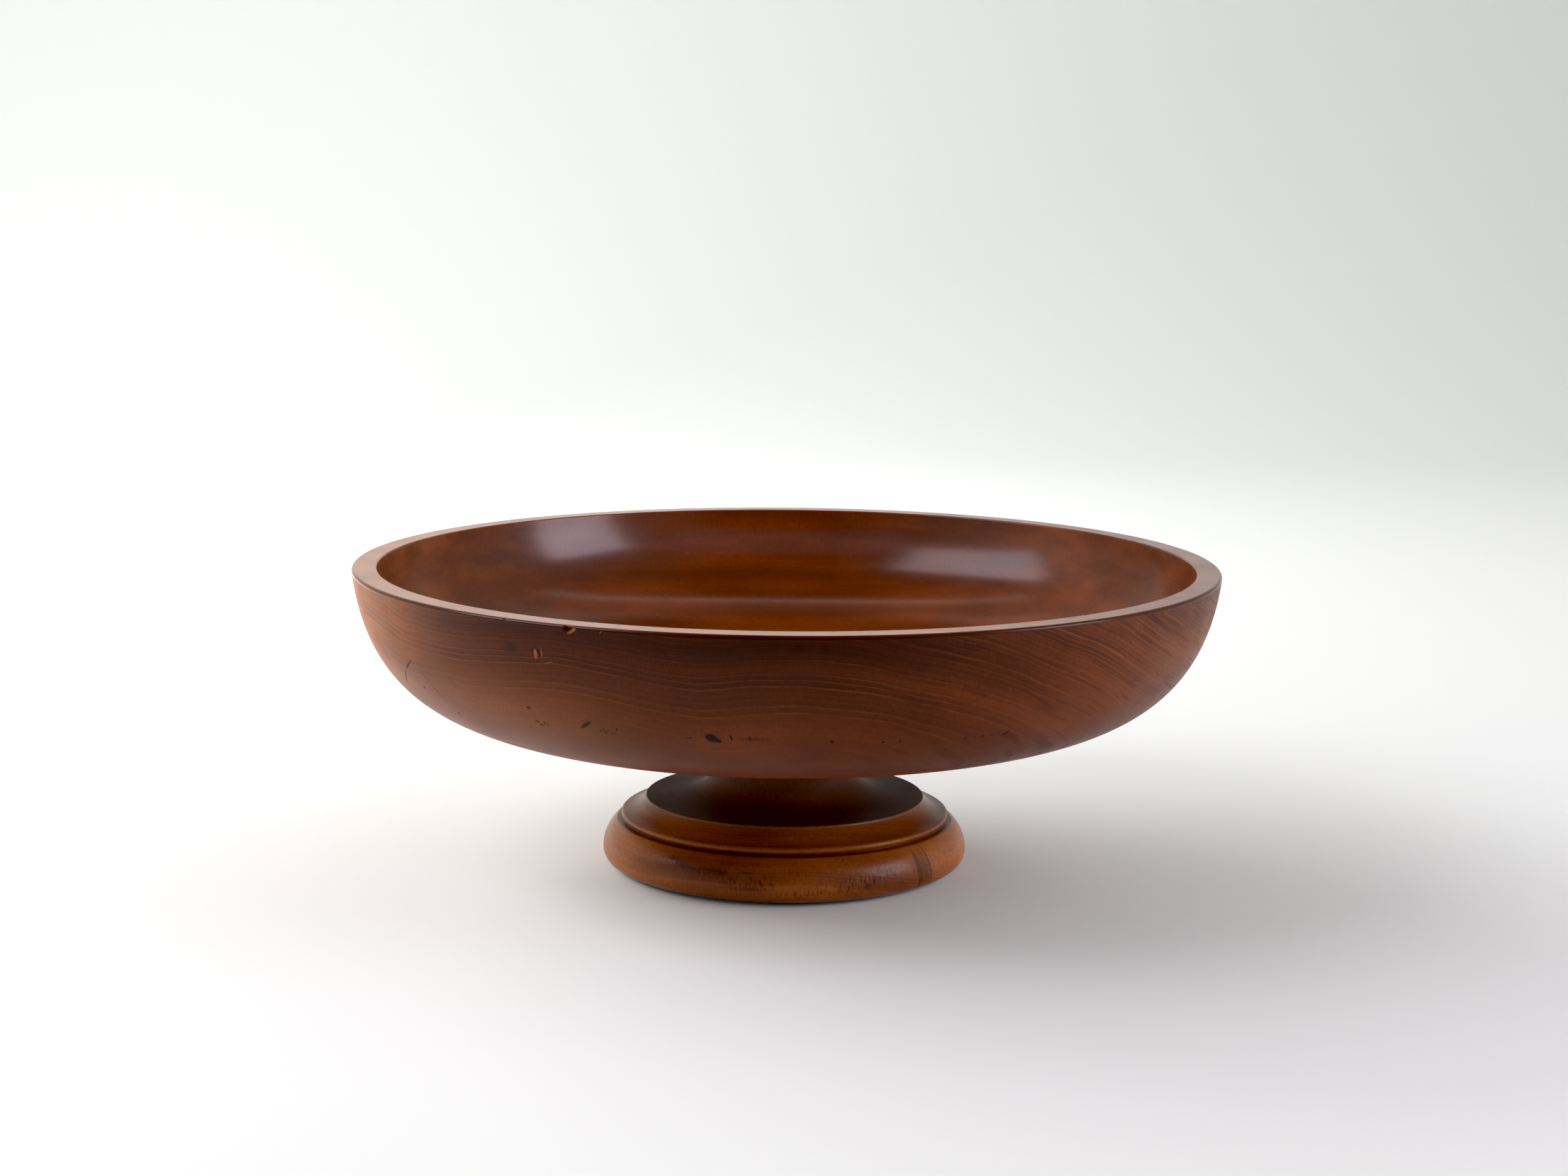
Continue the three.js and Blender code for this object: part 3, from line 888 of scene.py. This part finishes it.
class BOWL_OT_build(bpy.types.Operator):
    """Turns the bowl: one profile carried round the axis, with a dent and chips in its wall and rim"""

    bl_idname = "turned_bowl.bowl"
    bl_label = "Bowl"

    def execute(self, context):
        sizes, look = context.scene.turned_bowl, context.scene.turned_timber
        profile = bowl_profile(sizes)
        even = np.arange(0.0, 360.0, 1.25)
        close = np.arange(-36.0, -20.0, 0.15) % 360.0
        turns = np.radians(np.unique(np.round(np.r_[even, close], 5)))
        piece = revolved("Bowl", profile, turns, push=bowl_knocks(sizes, profile, turns))
        paint_bowl(piece, sizes, profile, len(turns))
        wall = profile[: np.argmax(profile[:, 0]) + 1]
        log = {"Log Height": 280.0, "Wander": 6.0, "Waves": 9.0}
        clad(piece, "bowl", look, wall, sizes.rim_radius, BOWL_MARKS, log, darkness=0.94)
        return {"FINISHED"}


def paint_bowl(piece, s, profile, columns):
    """Paints what the bowl's wood reads: a rubbed edge with painted reflection, painted shade in recesses, sheen,
    figure, painted shade, wax, golden painted side light and streaks.

    Each layer is a sum of smooth steps over the place, kept to the outside, to the rim or to the inside.
    """
    brow = np.argmax(profile[:, 0])
    order = np.arange(len(profile))
    r, height = profile.T
    flat = (height > s.rim_height - 0.05 * MM) & (r > 100 * MM)
    inside = (order > brow) & ~flat & (r < s.rim_radius - s.rim_width + MM)
    eased = (order >= brow) & (r > s.rim_radius - 0.7 * s.outer_ease)
    seat = bell(r - s.seat_radius, 5 * MM) * (height < s.seat_height + MM)
    upper = np.clip((height - 70 * MM) / (30 * MM), 0.0, 1.0)

    def rings(values):
        return spread(np.asarray(values, float), columns)

    x, y, z = vertex_places(piece).T
    outside, on_rim, in_bowl = rings(order <= brow + 3), rings(flat | eased), rings(inside)
    # Painted shade on the front of the outer wall, which faces the dim side of the room, and on the right of its
    # top.
    ahead = fade_in(x, -160, -75) * (1 - fade_in(x, 25, 120)) * (y < 0)
    ahead *= np.maximum(bell(z - 103 * MM, 17 * MM), 0.4 * bell(z - 90 * MM, 24 * MM))
    dark_out = 0.95 * ahead + 0.45 * fade_in(x, 100, 135) * fade_in(z, 92, 100)
    # Painted shade inside at the left and right ends, and on the right half of the rim.
    ends = 0.325 * fade_in(-x, 60, 120) + 0.5 * fade_in(x, 105, 135)
    dark_in = np.where(z < 0.999 * s.rim_height, ends, 0.35 * fade_in(x, 60, 140))
    low_wall = outside * (1 - fade_in(z, 74, 98)) * fade_in(np.abs(x), 30, 90)
    rim_wax = 0.26 - 0.19 * fade_in(np.abs(x + 30 * MM), 40, 130)
    inner_wax = 0.56 - 0.38 * fade_in(np.abs(x), 88, 130) - 0.12 * fade_in(-x, 100, 135)
    # Golden colour painted as side light: the left end, the lower left wall and the right end.
    golden = (fade_in(-x, 100, 146), 0.3 * low_wall * (x < 0), 0.25 * fade_in(x, 125, 150))
    layers = {
        # The rim's pale edge is rubbed wear with a painted reflection, fading to the right.
        "edge": 0.6 * rings(flat) * (1.0 - 0.6 * fade_in(x, 30, 130)),
        # Painted shade under the seat and a painted dark line along the rim's outer rounding.
        "recess": rings(np.clip(0.5 * seat + 0.5 * eased, 0.0, 1.0)),
        "matt": rings(np.where(inside, 0.25, np.where(flat | eased, 0.20, 0.46))),
        "figure": rings(np.where(inside, 0.35 * (r < 95 * MM), np.where(flat, 0.9, 0.12 + 0.88 * upper))),
        "heart": np.where(outside > 0.5, dark_out, dark_in),
        "wax": 0.02 + 0.10 * low_wall + on_rim * rim_wax + in_bowl * inner_wax,
        "gold": np.maximum.reduce(golden) * (0.35 + 0.65 * outside),
        "streak": (0.06 + 0.26 * fade_in(x, 10, 75)) * outside,
        "band": 0.8 * in_bowl,
    }
    for name, values in layers.items():
        paint(piece, name, values)


def bowl_knocks(s, profile, turns):
    """How far the bowl's skin is pushed in: a dent in the wall, a chip in the rim's edge and a nick beside it.

    Each is a bell over the distance from its middle along the turn and along the profile. The dent is a bell over
    the distance from a small ring, with a hollow to the left of the ring's middle.
    """
    along_skin = run_length(profile)[:, None]
    down = along_skin[np.argmax(profile[:, 0])] - along_skin

    def away(degrees):
        return (np.angle(np.exp(1j * (turns - np.radians(degrees)))) * s.rim_radius)[None, :]

    dent = bell(np.hypot(away(-30.3) * 1.1, down - 8.4 * MM) - 1.35 * MM, 0.45 * MM)
    hollow_in = 0.6 * bell(np.hypot(away(-30.7) * 1.3, down - 8.4 * MM), 1.0 * MM)
    along = away(-25.5) * 0.84 + down * 0.54
    across = away(-25.5) * 0.54 - down * 0.84
    chip = bell(along, 1.5 * MM) * bell(across, 0.8 * MM) * (down > -3.5 * MM)
    nick = bell(away(-34.7) - 0.5 * (down + MM), 0.3 * MM) * bell(down + 1.0 * MM, 0.9 * MM)
    return -(0.30 * MM * np.maximum(dent, hollow_in) + 1.0 * MM * chip + 0.35 * MM * nick)


class FOOT_OT_build(bpy.types.Operator):
    """Turns the foot: torus, groove, bead, hollow moulding, shoulder, sweep and neck on one profile"""

    bl_idname = "turned_bowl.foot"
    bl_label = "Foot"

    def execute(self, context):
        sizes, look = context.scene.turned_foot, context.scene.turned_timber
        profile = foot_profile(sizes)
        turns = np.radians(np.arange(0.0, 360.0, 1.0))
        piece = revolved("Foot", profile, turns)
        lip = sizes.bottom + sizes.torus_lower + sizes.torus_upper
        paint_foot(piece, sizes, profile, lip, len(turns))
        r, height = profile.T
        wall = profile[(r > 57 * MM) & (height > sizes.bottom) & (height <= lip)]
        log = {"Log Height": 150.0, "Wander": 9.0, "Waves": 0.0}
        clad(piece, "foot", look, wall, sizes.torus_radius, FOOT_MARKS, log, darkness=0.55)
        return {"FINISHED"}


def paint_foot(piece, s, profile, lip, columns):
    """Paints what the foot's wood reads, ring by ring from the mouldings and by turn for the golden patches of wood
    and of painted side light.

    lip is the height of the torus's upper edge.
    """
    r, height = profile.T
    bead = bell(height - (lip + 2.0 * MM), 0.9 * MM) * (r > s.torus_radius - 8 * MM)
    shoulder = bell(height - (lip + 8.2 * MM), 0.7 * MM) * (r > 46 * MM)
    groove = bell(height - (lip + 0.45 * MM), 0.5 * MM) * (r < s.torus_radius - 5.3 * MM)
    under = bell(height - s.bottom, 1.2 * MM)
    above = height > lip + 8 * MM
    hollow_moulding = (height > lip + MM) & ~above
    disc = fade_in(r, 24, 36) * above * (height < s.top - 8 * MM)
    neck = (1 - fade_in(r, 27, 36)) * above
    layers = {
        # Pale bead and shoulder edges: wear with a painted reflection.
        "edge": 0.15 * bead + 0.25 * shoulder,
        # Painted shade at the base by the cloth, on the shoulder's top and on the neck under the bowl.
        "recess": np.clip(0.5 * under + 0.85 * disc + 0.35 * neck, 0.0, 1.0),
        "matt": np.where(above, 0.58, 0.36),
        "wax": np.where(above, 0.0, 0.12),
        "figure": np.where(above, 0.2, 0.5),
        # Painted shade on the neck, in the hollow moulding and in the groove.
        "heart": np.clip(0.3 * neck + 0.2 * hollow_moulding + groove, 0.0, 1.0),
        "streak": np.full(len(r), 0.12),
        "band": np.zeros(len(r)),
    }
    for name, values in layers.items():
        paint(piece, name, spread(values, columns))
    x, y, z = vertex_places(piece).T
    angle = np.degrees(np.arctan2(x, -y))
    # A golden patch of wood right of the dark streak and golden wood at the far right; the golden colour at the far
    # left is painted side light.
    golden = eased_step(angle, 52.0, 55.0) * (1 - eased_step(angle, 74.0, 100.0))
    far_left, far_right = eased_step(-angle, 38.0, 62.0), eased_step(angle, 64.0, 78.0)
    paint(piece, "gold", (0.15 * golden + 0.45 * far_right + 0.48 * far_left) * (z < lip))


class SCREWS_OT_build(bpy.types.Operator):
    """Cuts the three hidden wood screws: a slotted countersunk head, a plain shank and a tapering helical thread"""

    bl_idname = "turned_bowl.screws"
    bl_label = "Foot screws"

    def execute(self, context):
        sizes = context.scene.turned_screws
        finish = brass(sizes)
        for node in SCREW_NODES:
            low, high = (np.array(c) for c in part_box(node))
            centre = (low + high) / 2
            piece = screw(node + ".brass", sizes, centre[:2], low[2], high[2])
            dress(piece, node, finish)
        return {"FINISHED"}


def screw(name, s, axis, bottom, top):
    """A wood screw point upwards: radius as a function of turn and height, closed by a slotted face and a tip.

    The cone of the head runs into the shank; over the thread's length the radius is the root plus a ridge that
    peaks once each turn, at height over pitch minus turn, and both shrink to nothing along the point. The columns
    at either end of the slot start higher by its depth; the face is two flats, the slot's walls and its floor.
    """
    half = math.asin(0.5 * s.slot_width / s.head_radius)
    flat = 21
    segment = np.linspace(half, np.pi - half, flat)
    slot_end = np.array((-0.92, 0.0, 0.92)) * half
    end = len(slot_end)
    turns = np.r_[segment, np.pi + slot_end, np.pi + segment, 2 * np.pi + slot_end]
    lift = np.tile(np.r_[np.zeros(flat), np.ones(end)], 2) * s.slot_depth
    head = bottom + s.head_depth
    start = top - s.thread_length
    level_at = np.r_[
        np.linspace(bottom, head, 4),
        np.linspace(head + 0.2 * MM, start, 6),
        np.arange(start, top, s.pitch / 12)[1:],
    ][:, None]
    z = level_at + lift * np.clip((head - level_at) / s.head_depth, 0.0, 1.0)
    phase = (z - start) / s.pitch - turns / (2 * np.pi)
    ridge = np.clip(1.0 - np.abs((phase % 1.0) - 0.5) / 0.28, 0.0, 1.0)
    fade = np.clip((z - start) / (2 * s.pitch), 0.0, 1.0)
    root = s.shank_radius + (s.root_radius - s.shank_radius) * fade
    point = np.clip((top - z) / s.point_length, 0.0, 1.0) ** 0.8
    threaded = (root + (s.shank_radius - root) * ridge) * point
    cone = np.interp(z, (bottom, head), (s.head_radius, s.shank_radius))
    r = np.where(z > start, threaded, cone)
    wall = np.stack((r * np.cos(turns), r * np.sin(turns), z), axis=-1).reshape(-1, 3)
    at = np.arange(r.size).reshape(r.shape)
    beside = np.roll(at, -1, axis=1)
    faces = np.stack((at[:-1], beside[:-1], beside[1:], at[1:]), axis=-1).reshape(-1, 4).tolist()
    faces += np.stack((at[-1], beside[-1], np.full(len(turns), len(wall))), axis=-1).tolist()
    columns, half_way = list(range(len(turns))), flat + end
    near, near_end = columns[:flat], columns[flat:half_way]
    far, far_end = columns[half_way:-end], columns[-end:]
    face = [
        near[::-1],
        far[::-1],
        [near[-1], near[0], far_end[-1], near_end[0]],
        [far[-1], far[0], near_end[-1], far_end[0]],
        far_end[::-1] + near_end[::-1],
    ]
    vertices = np.concatenate((wall, [(0, 0, top)])) + (axis[0], axis[1], 0.0)
    piece = mesh_object(name, vertices, faces + face)
    piece.data.polygons.foreach_set("use_smooth", [True] * len(faces) + [False] * len(face))
    return piece


class BAIZE_OT_build(bpy.types.Operator):
    """Lays the felted cloth disc under the foot"""

    bl_idname = "turned_bowl.baize"
    bl_label = "Baize"

    def execute(self, context):
        sizes = context.scene.turned_baize
        piece = baize_disc(sizes)
        dress(piece, "baize_pad", baize_cloth(sizes))
        return {"FINISHED"}


def baize_disc(s):
    """A thin cloth disc: a rounded section carried round the axis.

    The cut edge wavers by the sum of three sines of the turn, and the faces swell between tiny dimples, which are
    products of sines of the place on the cloth.
    """
    turns = np.radians(np.arange(0.0, 360.0, 1.5))
    t = s.thickness
    edge = arc((s.radius - 0.45 * t, 0.5 * t), 0.45 * t, -90, 90, 9)
    under = level(0.05 * t, 0.6 * MM, s.radius - 1.0 * MM, 42)
    over = level(0.97 * t, s.radius - 1.0 * MM, 0.6 * MM, 42)
    profile = joined((0.0, 0.05 * t), under, edge, over, (0.0, 0.97 * t))
    waver = 0.07 * np.sin(7 * turns + 0.4) + 0.04 * np.sin(19 * turns + 1.9) + 0.02 * np.sin(43 * turns)
    r = profile[:, :1]
    near_edge = np.clip((r - 0.93 * s.radius) / (0.07 * s.radius), 0.0, 1.0)
    x, y = r * np.sin(turns), r * np.cos(turns)
    dimple = np.sin(x / (1.9 * MM)) * np.sin(y / (2.3 * MM) + 0.7) * (profile[:, 1:] < 0.3 * t)
    push = (waver[None, :] - 0.22) * MM * near_edge * (np.abs(profile[:, 1:] - 0.5 * t) < 0.47 * t)
    push = push - 0.03 * t * (1 + dimple) * (profile[:, 1:] < 0.3 * t)
    return revolved("Baize", profile, turns, push=push)


class STAGE_OT_build(bpy.types.Operator):
    """Sets the pale floor with its raised backdrop, the soft lights, the room and the camera"""

    bl_idname = "turned_bowl.stage"
    bl_label = "Stage"

    def execute(self, context):
        look = context.scene.turned_stage
        sweep(look)
        lilac, violet, rose, white = (0.97, 0.86, 1.0), (0.97, 0.88, 1.0), (1.0, 0.86, 0.80), (1.0, 1.0, 1.0)
        window("Left Window", bearing(-104.0, 42.0, 1.1), (0.80, 0.54), look.left_power, violet, roll=27.0)
        fill = window("Left Wall", bearing(-50.0, 24.0, 1.1), (0.9, 0.6), look.wall_power, (1.0, 1.0, 0.97))
        fill.visible_glossy = False
        window("Right Window", bearing(108.0, 20.0, 1.4), (0.66, 0.72), look.right_power, lilac)
        glow = window("Front Glow", bearing(180.0, 36.0, 1.6), (2.2, 0.7), look.glow_power, lilac)
        strip = window("Ceiling Strip", bearing(0.0, 64.5, 1.53), (2.0, 0.07), look.strip_power, rose)
        glow.visible_diffuse = strip.visible_diffuse = False
        wash = (0.25, 1.0, -0.25)
        window("Backdrop Wash", (-0.9, 0.7, 1.1), (1.0, 1.0), look.back_power, white, face=wash)
        dark_card()
        room_light(look)
        viewpoint(look)
        develop(context.scene.view_settings)
        return {"FINISHED"}


def develop(view):
    """Prints the picture as a plain photograph: straight tones with a slightly raised black point."""
    view.view_transform = "Standard"
    view.use_curve_mapping = True
    view.curve_mapping.black_level = (0.010, 0.010, 0.010)
    view.curve_mapping.update()


def stage_sheet(name, x, y, z, material):
    """A grid of places as one sheet of the stage."""
    at = np.arange(x.size).reshape(x.shape)
    faces = np.stack((at[:-1, :-1], at[:-1, 1:], at[1:, 1:], at[1:, :-1]), axis=-1).reshape(-1, 4)
    data = bpy.data.meshes.new(name)
    data.from_pydata(np.stack((x, y, z), axis=-1).reshape(-1, 3).tolist(), [], faces.tolist())
    data.shade_smooth()
    data.materials.append(material)
    sheet = bpy.data.objects.new(name, data)
    bpy.context.collection.objects.link(sheet)
    return sheet


def sweep(look):
    """Paper from the floor up into a backdrop: a section of level, quarter round and upright, drawn across X."""
    front, bend, back, top = -4.0, 1.6, 2.9, 3.6
    start = back - bend
    section = joined(
        level(0.0, front, start, 12),
        arc((start, bend), bend, -90, 0, 32),
        np.column_stack((np.full(6, back), np.linspace(bend, top, 6))),
    )
    across = np.linspace(-5.0, 5.0, 24)
    y, x = np.meshgrid(section[:, 0], across, indexing="ij")
    z = np.repeat(section[:, 1:], len(across), axis=1)
    shadow = scaled(look.floor, 0.985)
    paper, _, shader = matt_sheet("Pale Paper", opaque(look.floor), shadow, (0.7, 0.8), detail=3.0, scale=3.0)
    shader["Specular IOR Level"].default_value = 0.2
    stage_sheet("Paper", x, y, z, paper)


def dark_card():
    """A dark card flat on the floor in front, out of the picture, that keeps the front of the bowl in shade.

    It is a plain grid of one width and depth. It is dark from above alone: the camera and the shadows pass through
    it, and so does the light that leaves the paper under it.
    """
    x, y = np.meshgrid(np.linspace(-0.75, 0.75, 4), np.linspace(-2.4, -0.44, 5))
    black, brown = (0.02, 0.02, 0.02, 1.0), (0.03, 0.028, 0.026, 1.0)
    material, tree, shader = matt_sheet("Dark Card", black, brown, (0.85, 0.95), detail=2.0, scale=8.0)
    from_below = add(tree, "ShaderNodeNewGeometry").outputs["Backfacing"]
    feed(tree, shader["Alpha"], minus(tree, 1.0, from_below))
    card = stage_sheet("Dark_Card", x, y, np.full(x.shape, 2 * MM), material)
    card.visible_camera = False
    card.visible_shadow = False


# What the lights face: the middle of the bowl above the table.
BOWL_MIDDLE = (0.0, 0.0, 0.07)


def bearing(side, height, distance):
    """A place seen from the bowl: side from +Y to the right and height above the table, in degrees."""
    b, h = math.radians(side), math.radians(height)
    way = np.array((math.sin(b) * math.cos(h), math.cos(b) * math.cos(h), math.sin(h)))
    return way * distance + BOWL_MIDDLE


def window(name, place, size, watts, colour, face=None, roll=0.0):
    """A soft light of a given width and height at a place; it faces the bowl, or the given direction.

    roll leans it over, in degrees.
    """
    lamp = bpy.data.lights.new(name, "AREA")
    lamp.shape = "RECTANGLE"
    lamp.size, lamp.size_y = size
    lamp.energy = watts
    lamp.color = colour
    piece = bpy.data.objects.new(name, lamp)
    piece.location = place
    back = np.asarray(place, float) - BOWL_MIDDLE if face is None else -np.asarray(face, float)
    back /= np.linalg.norm(back)
    right = np.cross((0.0, 0.0, 1.0), back)
    right /= np.linalg.norm(right)
    up = np.cross(back, right)
    lean = math.radians(roll)
    turned = math.cos(lean) * right + math.sin(lean) * up
    set_axes(piece, turned, np.cross(back, turned), back)
    bpy.context.collection.objects.link(piece)
    return piece


def set_axes(piece, right, up, back):
    """Turns an object so that its own X, Y and Z lie along these directions."""
    turned = Matrix(np.column_stack((right, up, back)).tolist())
    piece.rotation_euler = turned.to_euler()


# The room's light where there is no wall, how much less of it polished faces reflect, and the grey past the paper.
ROOM_SHADE = 0.03
ROOM_IN_POLISH = -0.67
PAST_PAPER = 0.8
# Where the camera stands in metres, and its pitch downwards, its turn and its roll in degrees.
CAMERA_PLACE = (0.0, -0.90338, 0.2405)
CAMERA_TURNS = (8.982, -0.056, 0.53)


def room_light(look):
    """The room: white walls left, right and behind, each as bright as the square of how far one looks towards it.

    Polished faces reflect it at a third of that, and what the camera sees past the paper is a plain pale grey.
    """
    world = bpy.data.worlds.new("Room")
    world.use_nodes = True
    tree = world.node_tree
    way = parts(tree, add(tree, "ShaderNodeTexCoord").outputs["Generated"])
    behind = calc(tree, "MAXIMUM", way[1], 0.0)
    walls = plus(tree, times(tree, way[0], way[0]), times(tree, behind, behind))
    light = times(tree, plus(tree, walls, ROOM_SHADE), look.room)
    path = add(tree, "ShaderNodeLightPath").outputs
    light = times(tree, light, calc(tree, "MULTIPLY_ADD", path["Is Glossy Ray"], ROOM_IN_POLISH, 1.0))
    shown = {0: path["Is Camera Ray"], 2: light, 3: PAST_PAPER}
    shade = tree.nodes["Background"].inputs
    shade["Color"].default_value = (1.0, 0.995, 0.985, 1.0)
    feed(tree, shade["Strength"], add(tree, "ShaderNodeMix", shown, data_type="FLOAT").outputs[0])
    bpy.context.scene.world = world


def viewpoint(look):
    """The camera: 0.903 m in front and 0.24 m up, pitched down 9 degrees with half a degree of roll."""
    pitch, yaw, roll = (math.radians(a) for a in CAMERA_TURNS)
    forward = np.array((math.sin(yaw) * math.cos(pitch), math.cos(yaw) * math.cos(pitch), -math.sin(pitch)))
    right = np.array((math.cos(yaw), -math.sin(yaw), 0.0))
    up = np.cross(right, forward)
    turned = math.cos(roll) * right + math.sin(roll) * up
    upright = math.cos(roll) * up - math.sin(roll) * right
    lens = bpy.data.cameras.new("View")
    lens.sensor_fit = "HORIZONTAL"
    lens.sensor_width = 36.0
    lens.lens = look.lens
    lens.clip_start = 0.01
    camera = bpy.data.objects.new("View", lens)
    camera.location = CAMERA_PLACE
    set_axes(camera, turned, upright, -forward)
    bpy.context.collection.objects.link(camera)
    bpy.context.scene.camera = camera


class BOWL_PT_panel(bpy.types.Panel):
    """Lists the pieces of the bowl and their sizes"""

    bl_idname = "BOWL_PT_panel"
    bl_label = "Footed Turned Bowl"
    bl_space_type = "VIEW_3D"
    bl_region_type = "UI"
    bl_category = "Turned Bowl"

    def draw(self, context):
        for operator, settings in STEPS.items():
            box = self.layout.box()
            box.operator(operator)
            for group in (getattr(context.scene, name) for name in settings):
                for key in group.__annotations__:
                    box.prop(group, key)


SETTINGS = {
    "turned_bowl": BowlSizes,
    "turned_foot": FootSizes,
    "turned_screws": ScrewSizes,
    "turned_baize": BaizeSizes,
    "turned_timber": TimberLook,
    "turned_stage": StageLook,
}
STEPS = {
    "turned_bowl.bowl": ("turned_bowl", "turned_timber"),
    "turned_bowl.foot": ("turned_foot",),
    "turned_bowl.screws": ("turned_screws",),
    "turned_bowl.baize": ("turned_baize",),
    "turned_bowl.stage": ("turned_stage",),
}
CLASSES = (
    *SETTINGS.values(),
    BOWL_OT_build,
    FOOT_OT_build,
    SCREWS_OT_build,
    BAIZE_OT_build,
    STAGE_OT_build,
    BOWL_PT_panel,
)


def register():
    for made in CLASSES:
        bpy.utils.register_class(made)
    for key, group in SETTINGS.items():
        setattr(bpy.types.Scene, key, bpy.props.PointerProperty(type=group))


def unregister():
    for key in SETTINGS:
        delattr(bpy.types.Scene, key)
    for made in reversed(CLASSES):
        bpy.utils.unregister_class(made)


def main():
    register()
    bpy.ops.turned_bowl.bowl()
    bpy.ops.turned_bowl.foot()
    bpy.ops.turned_bowl.screws()
    bpy.ops.turned_bowl.baize()
    bpy.ops.turned_bowl.stage()


if __name__ == "__main__":
    main()
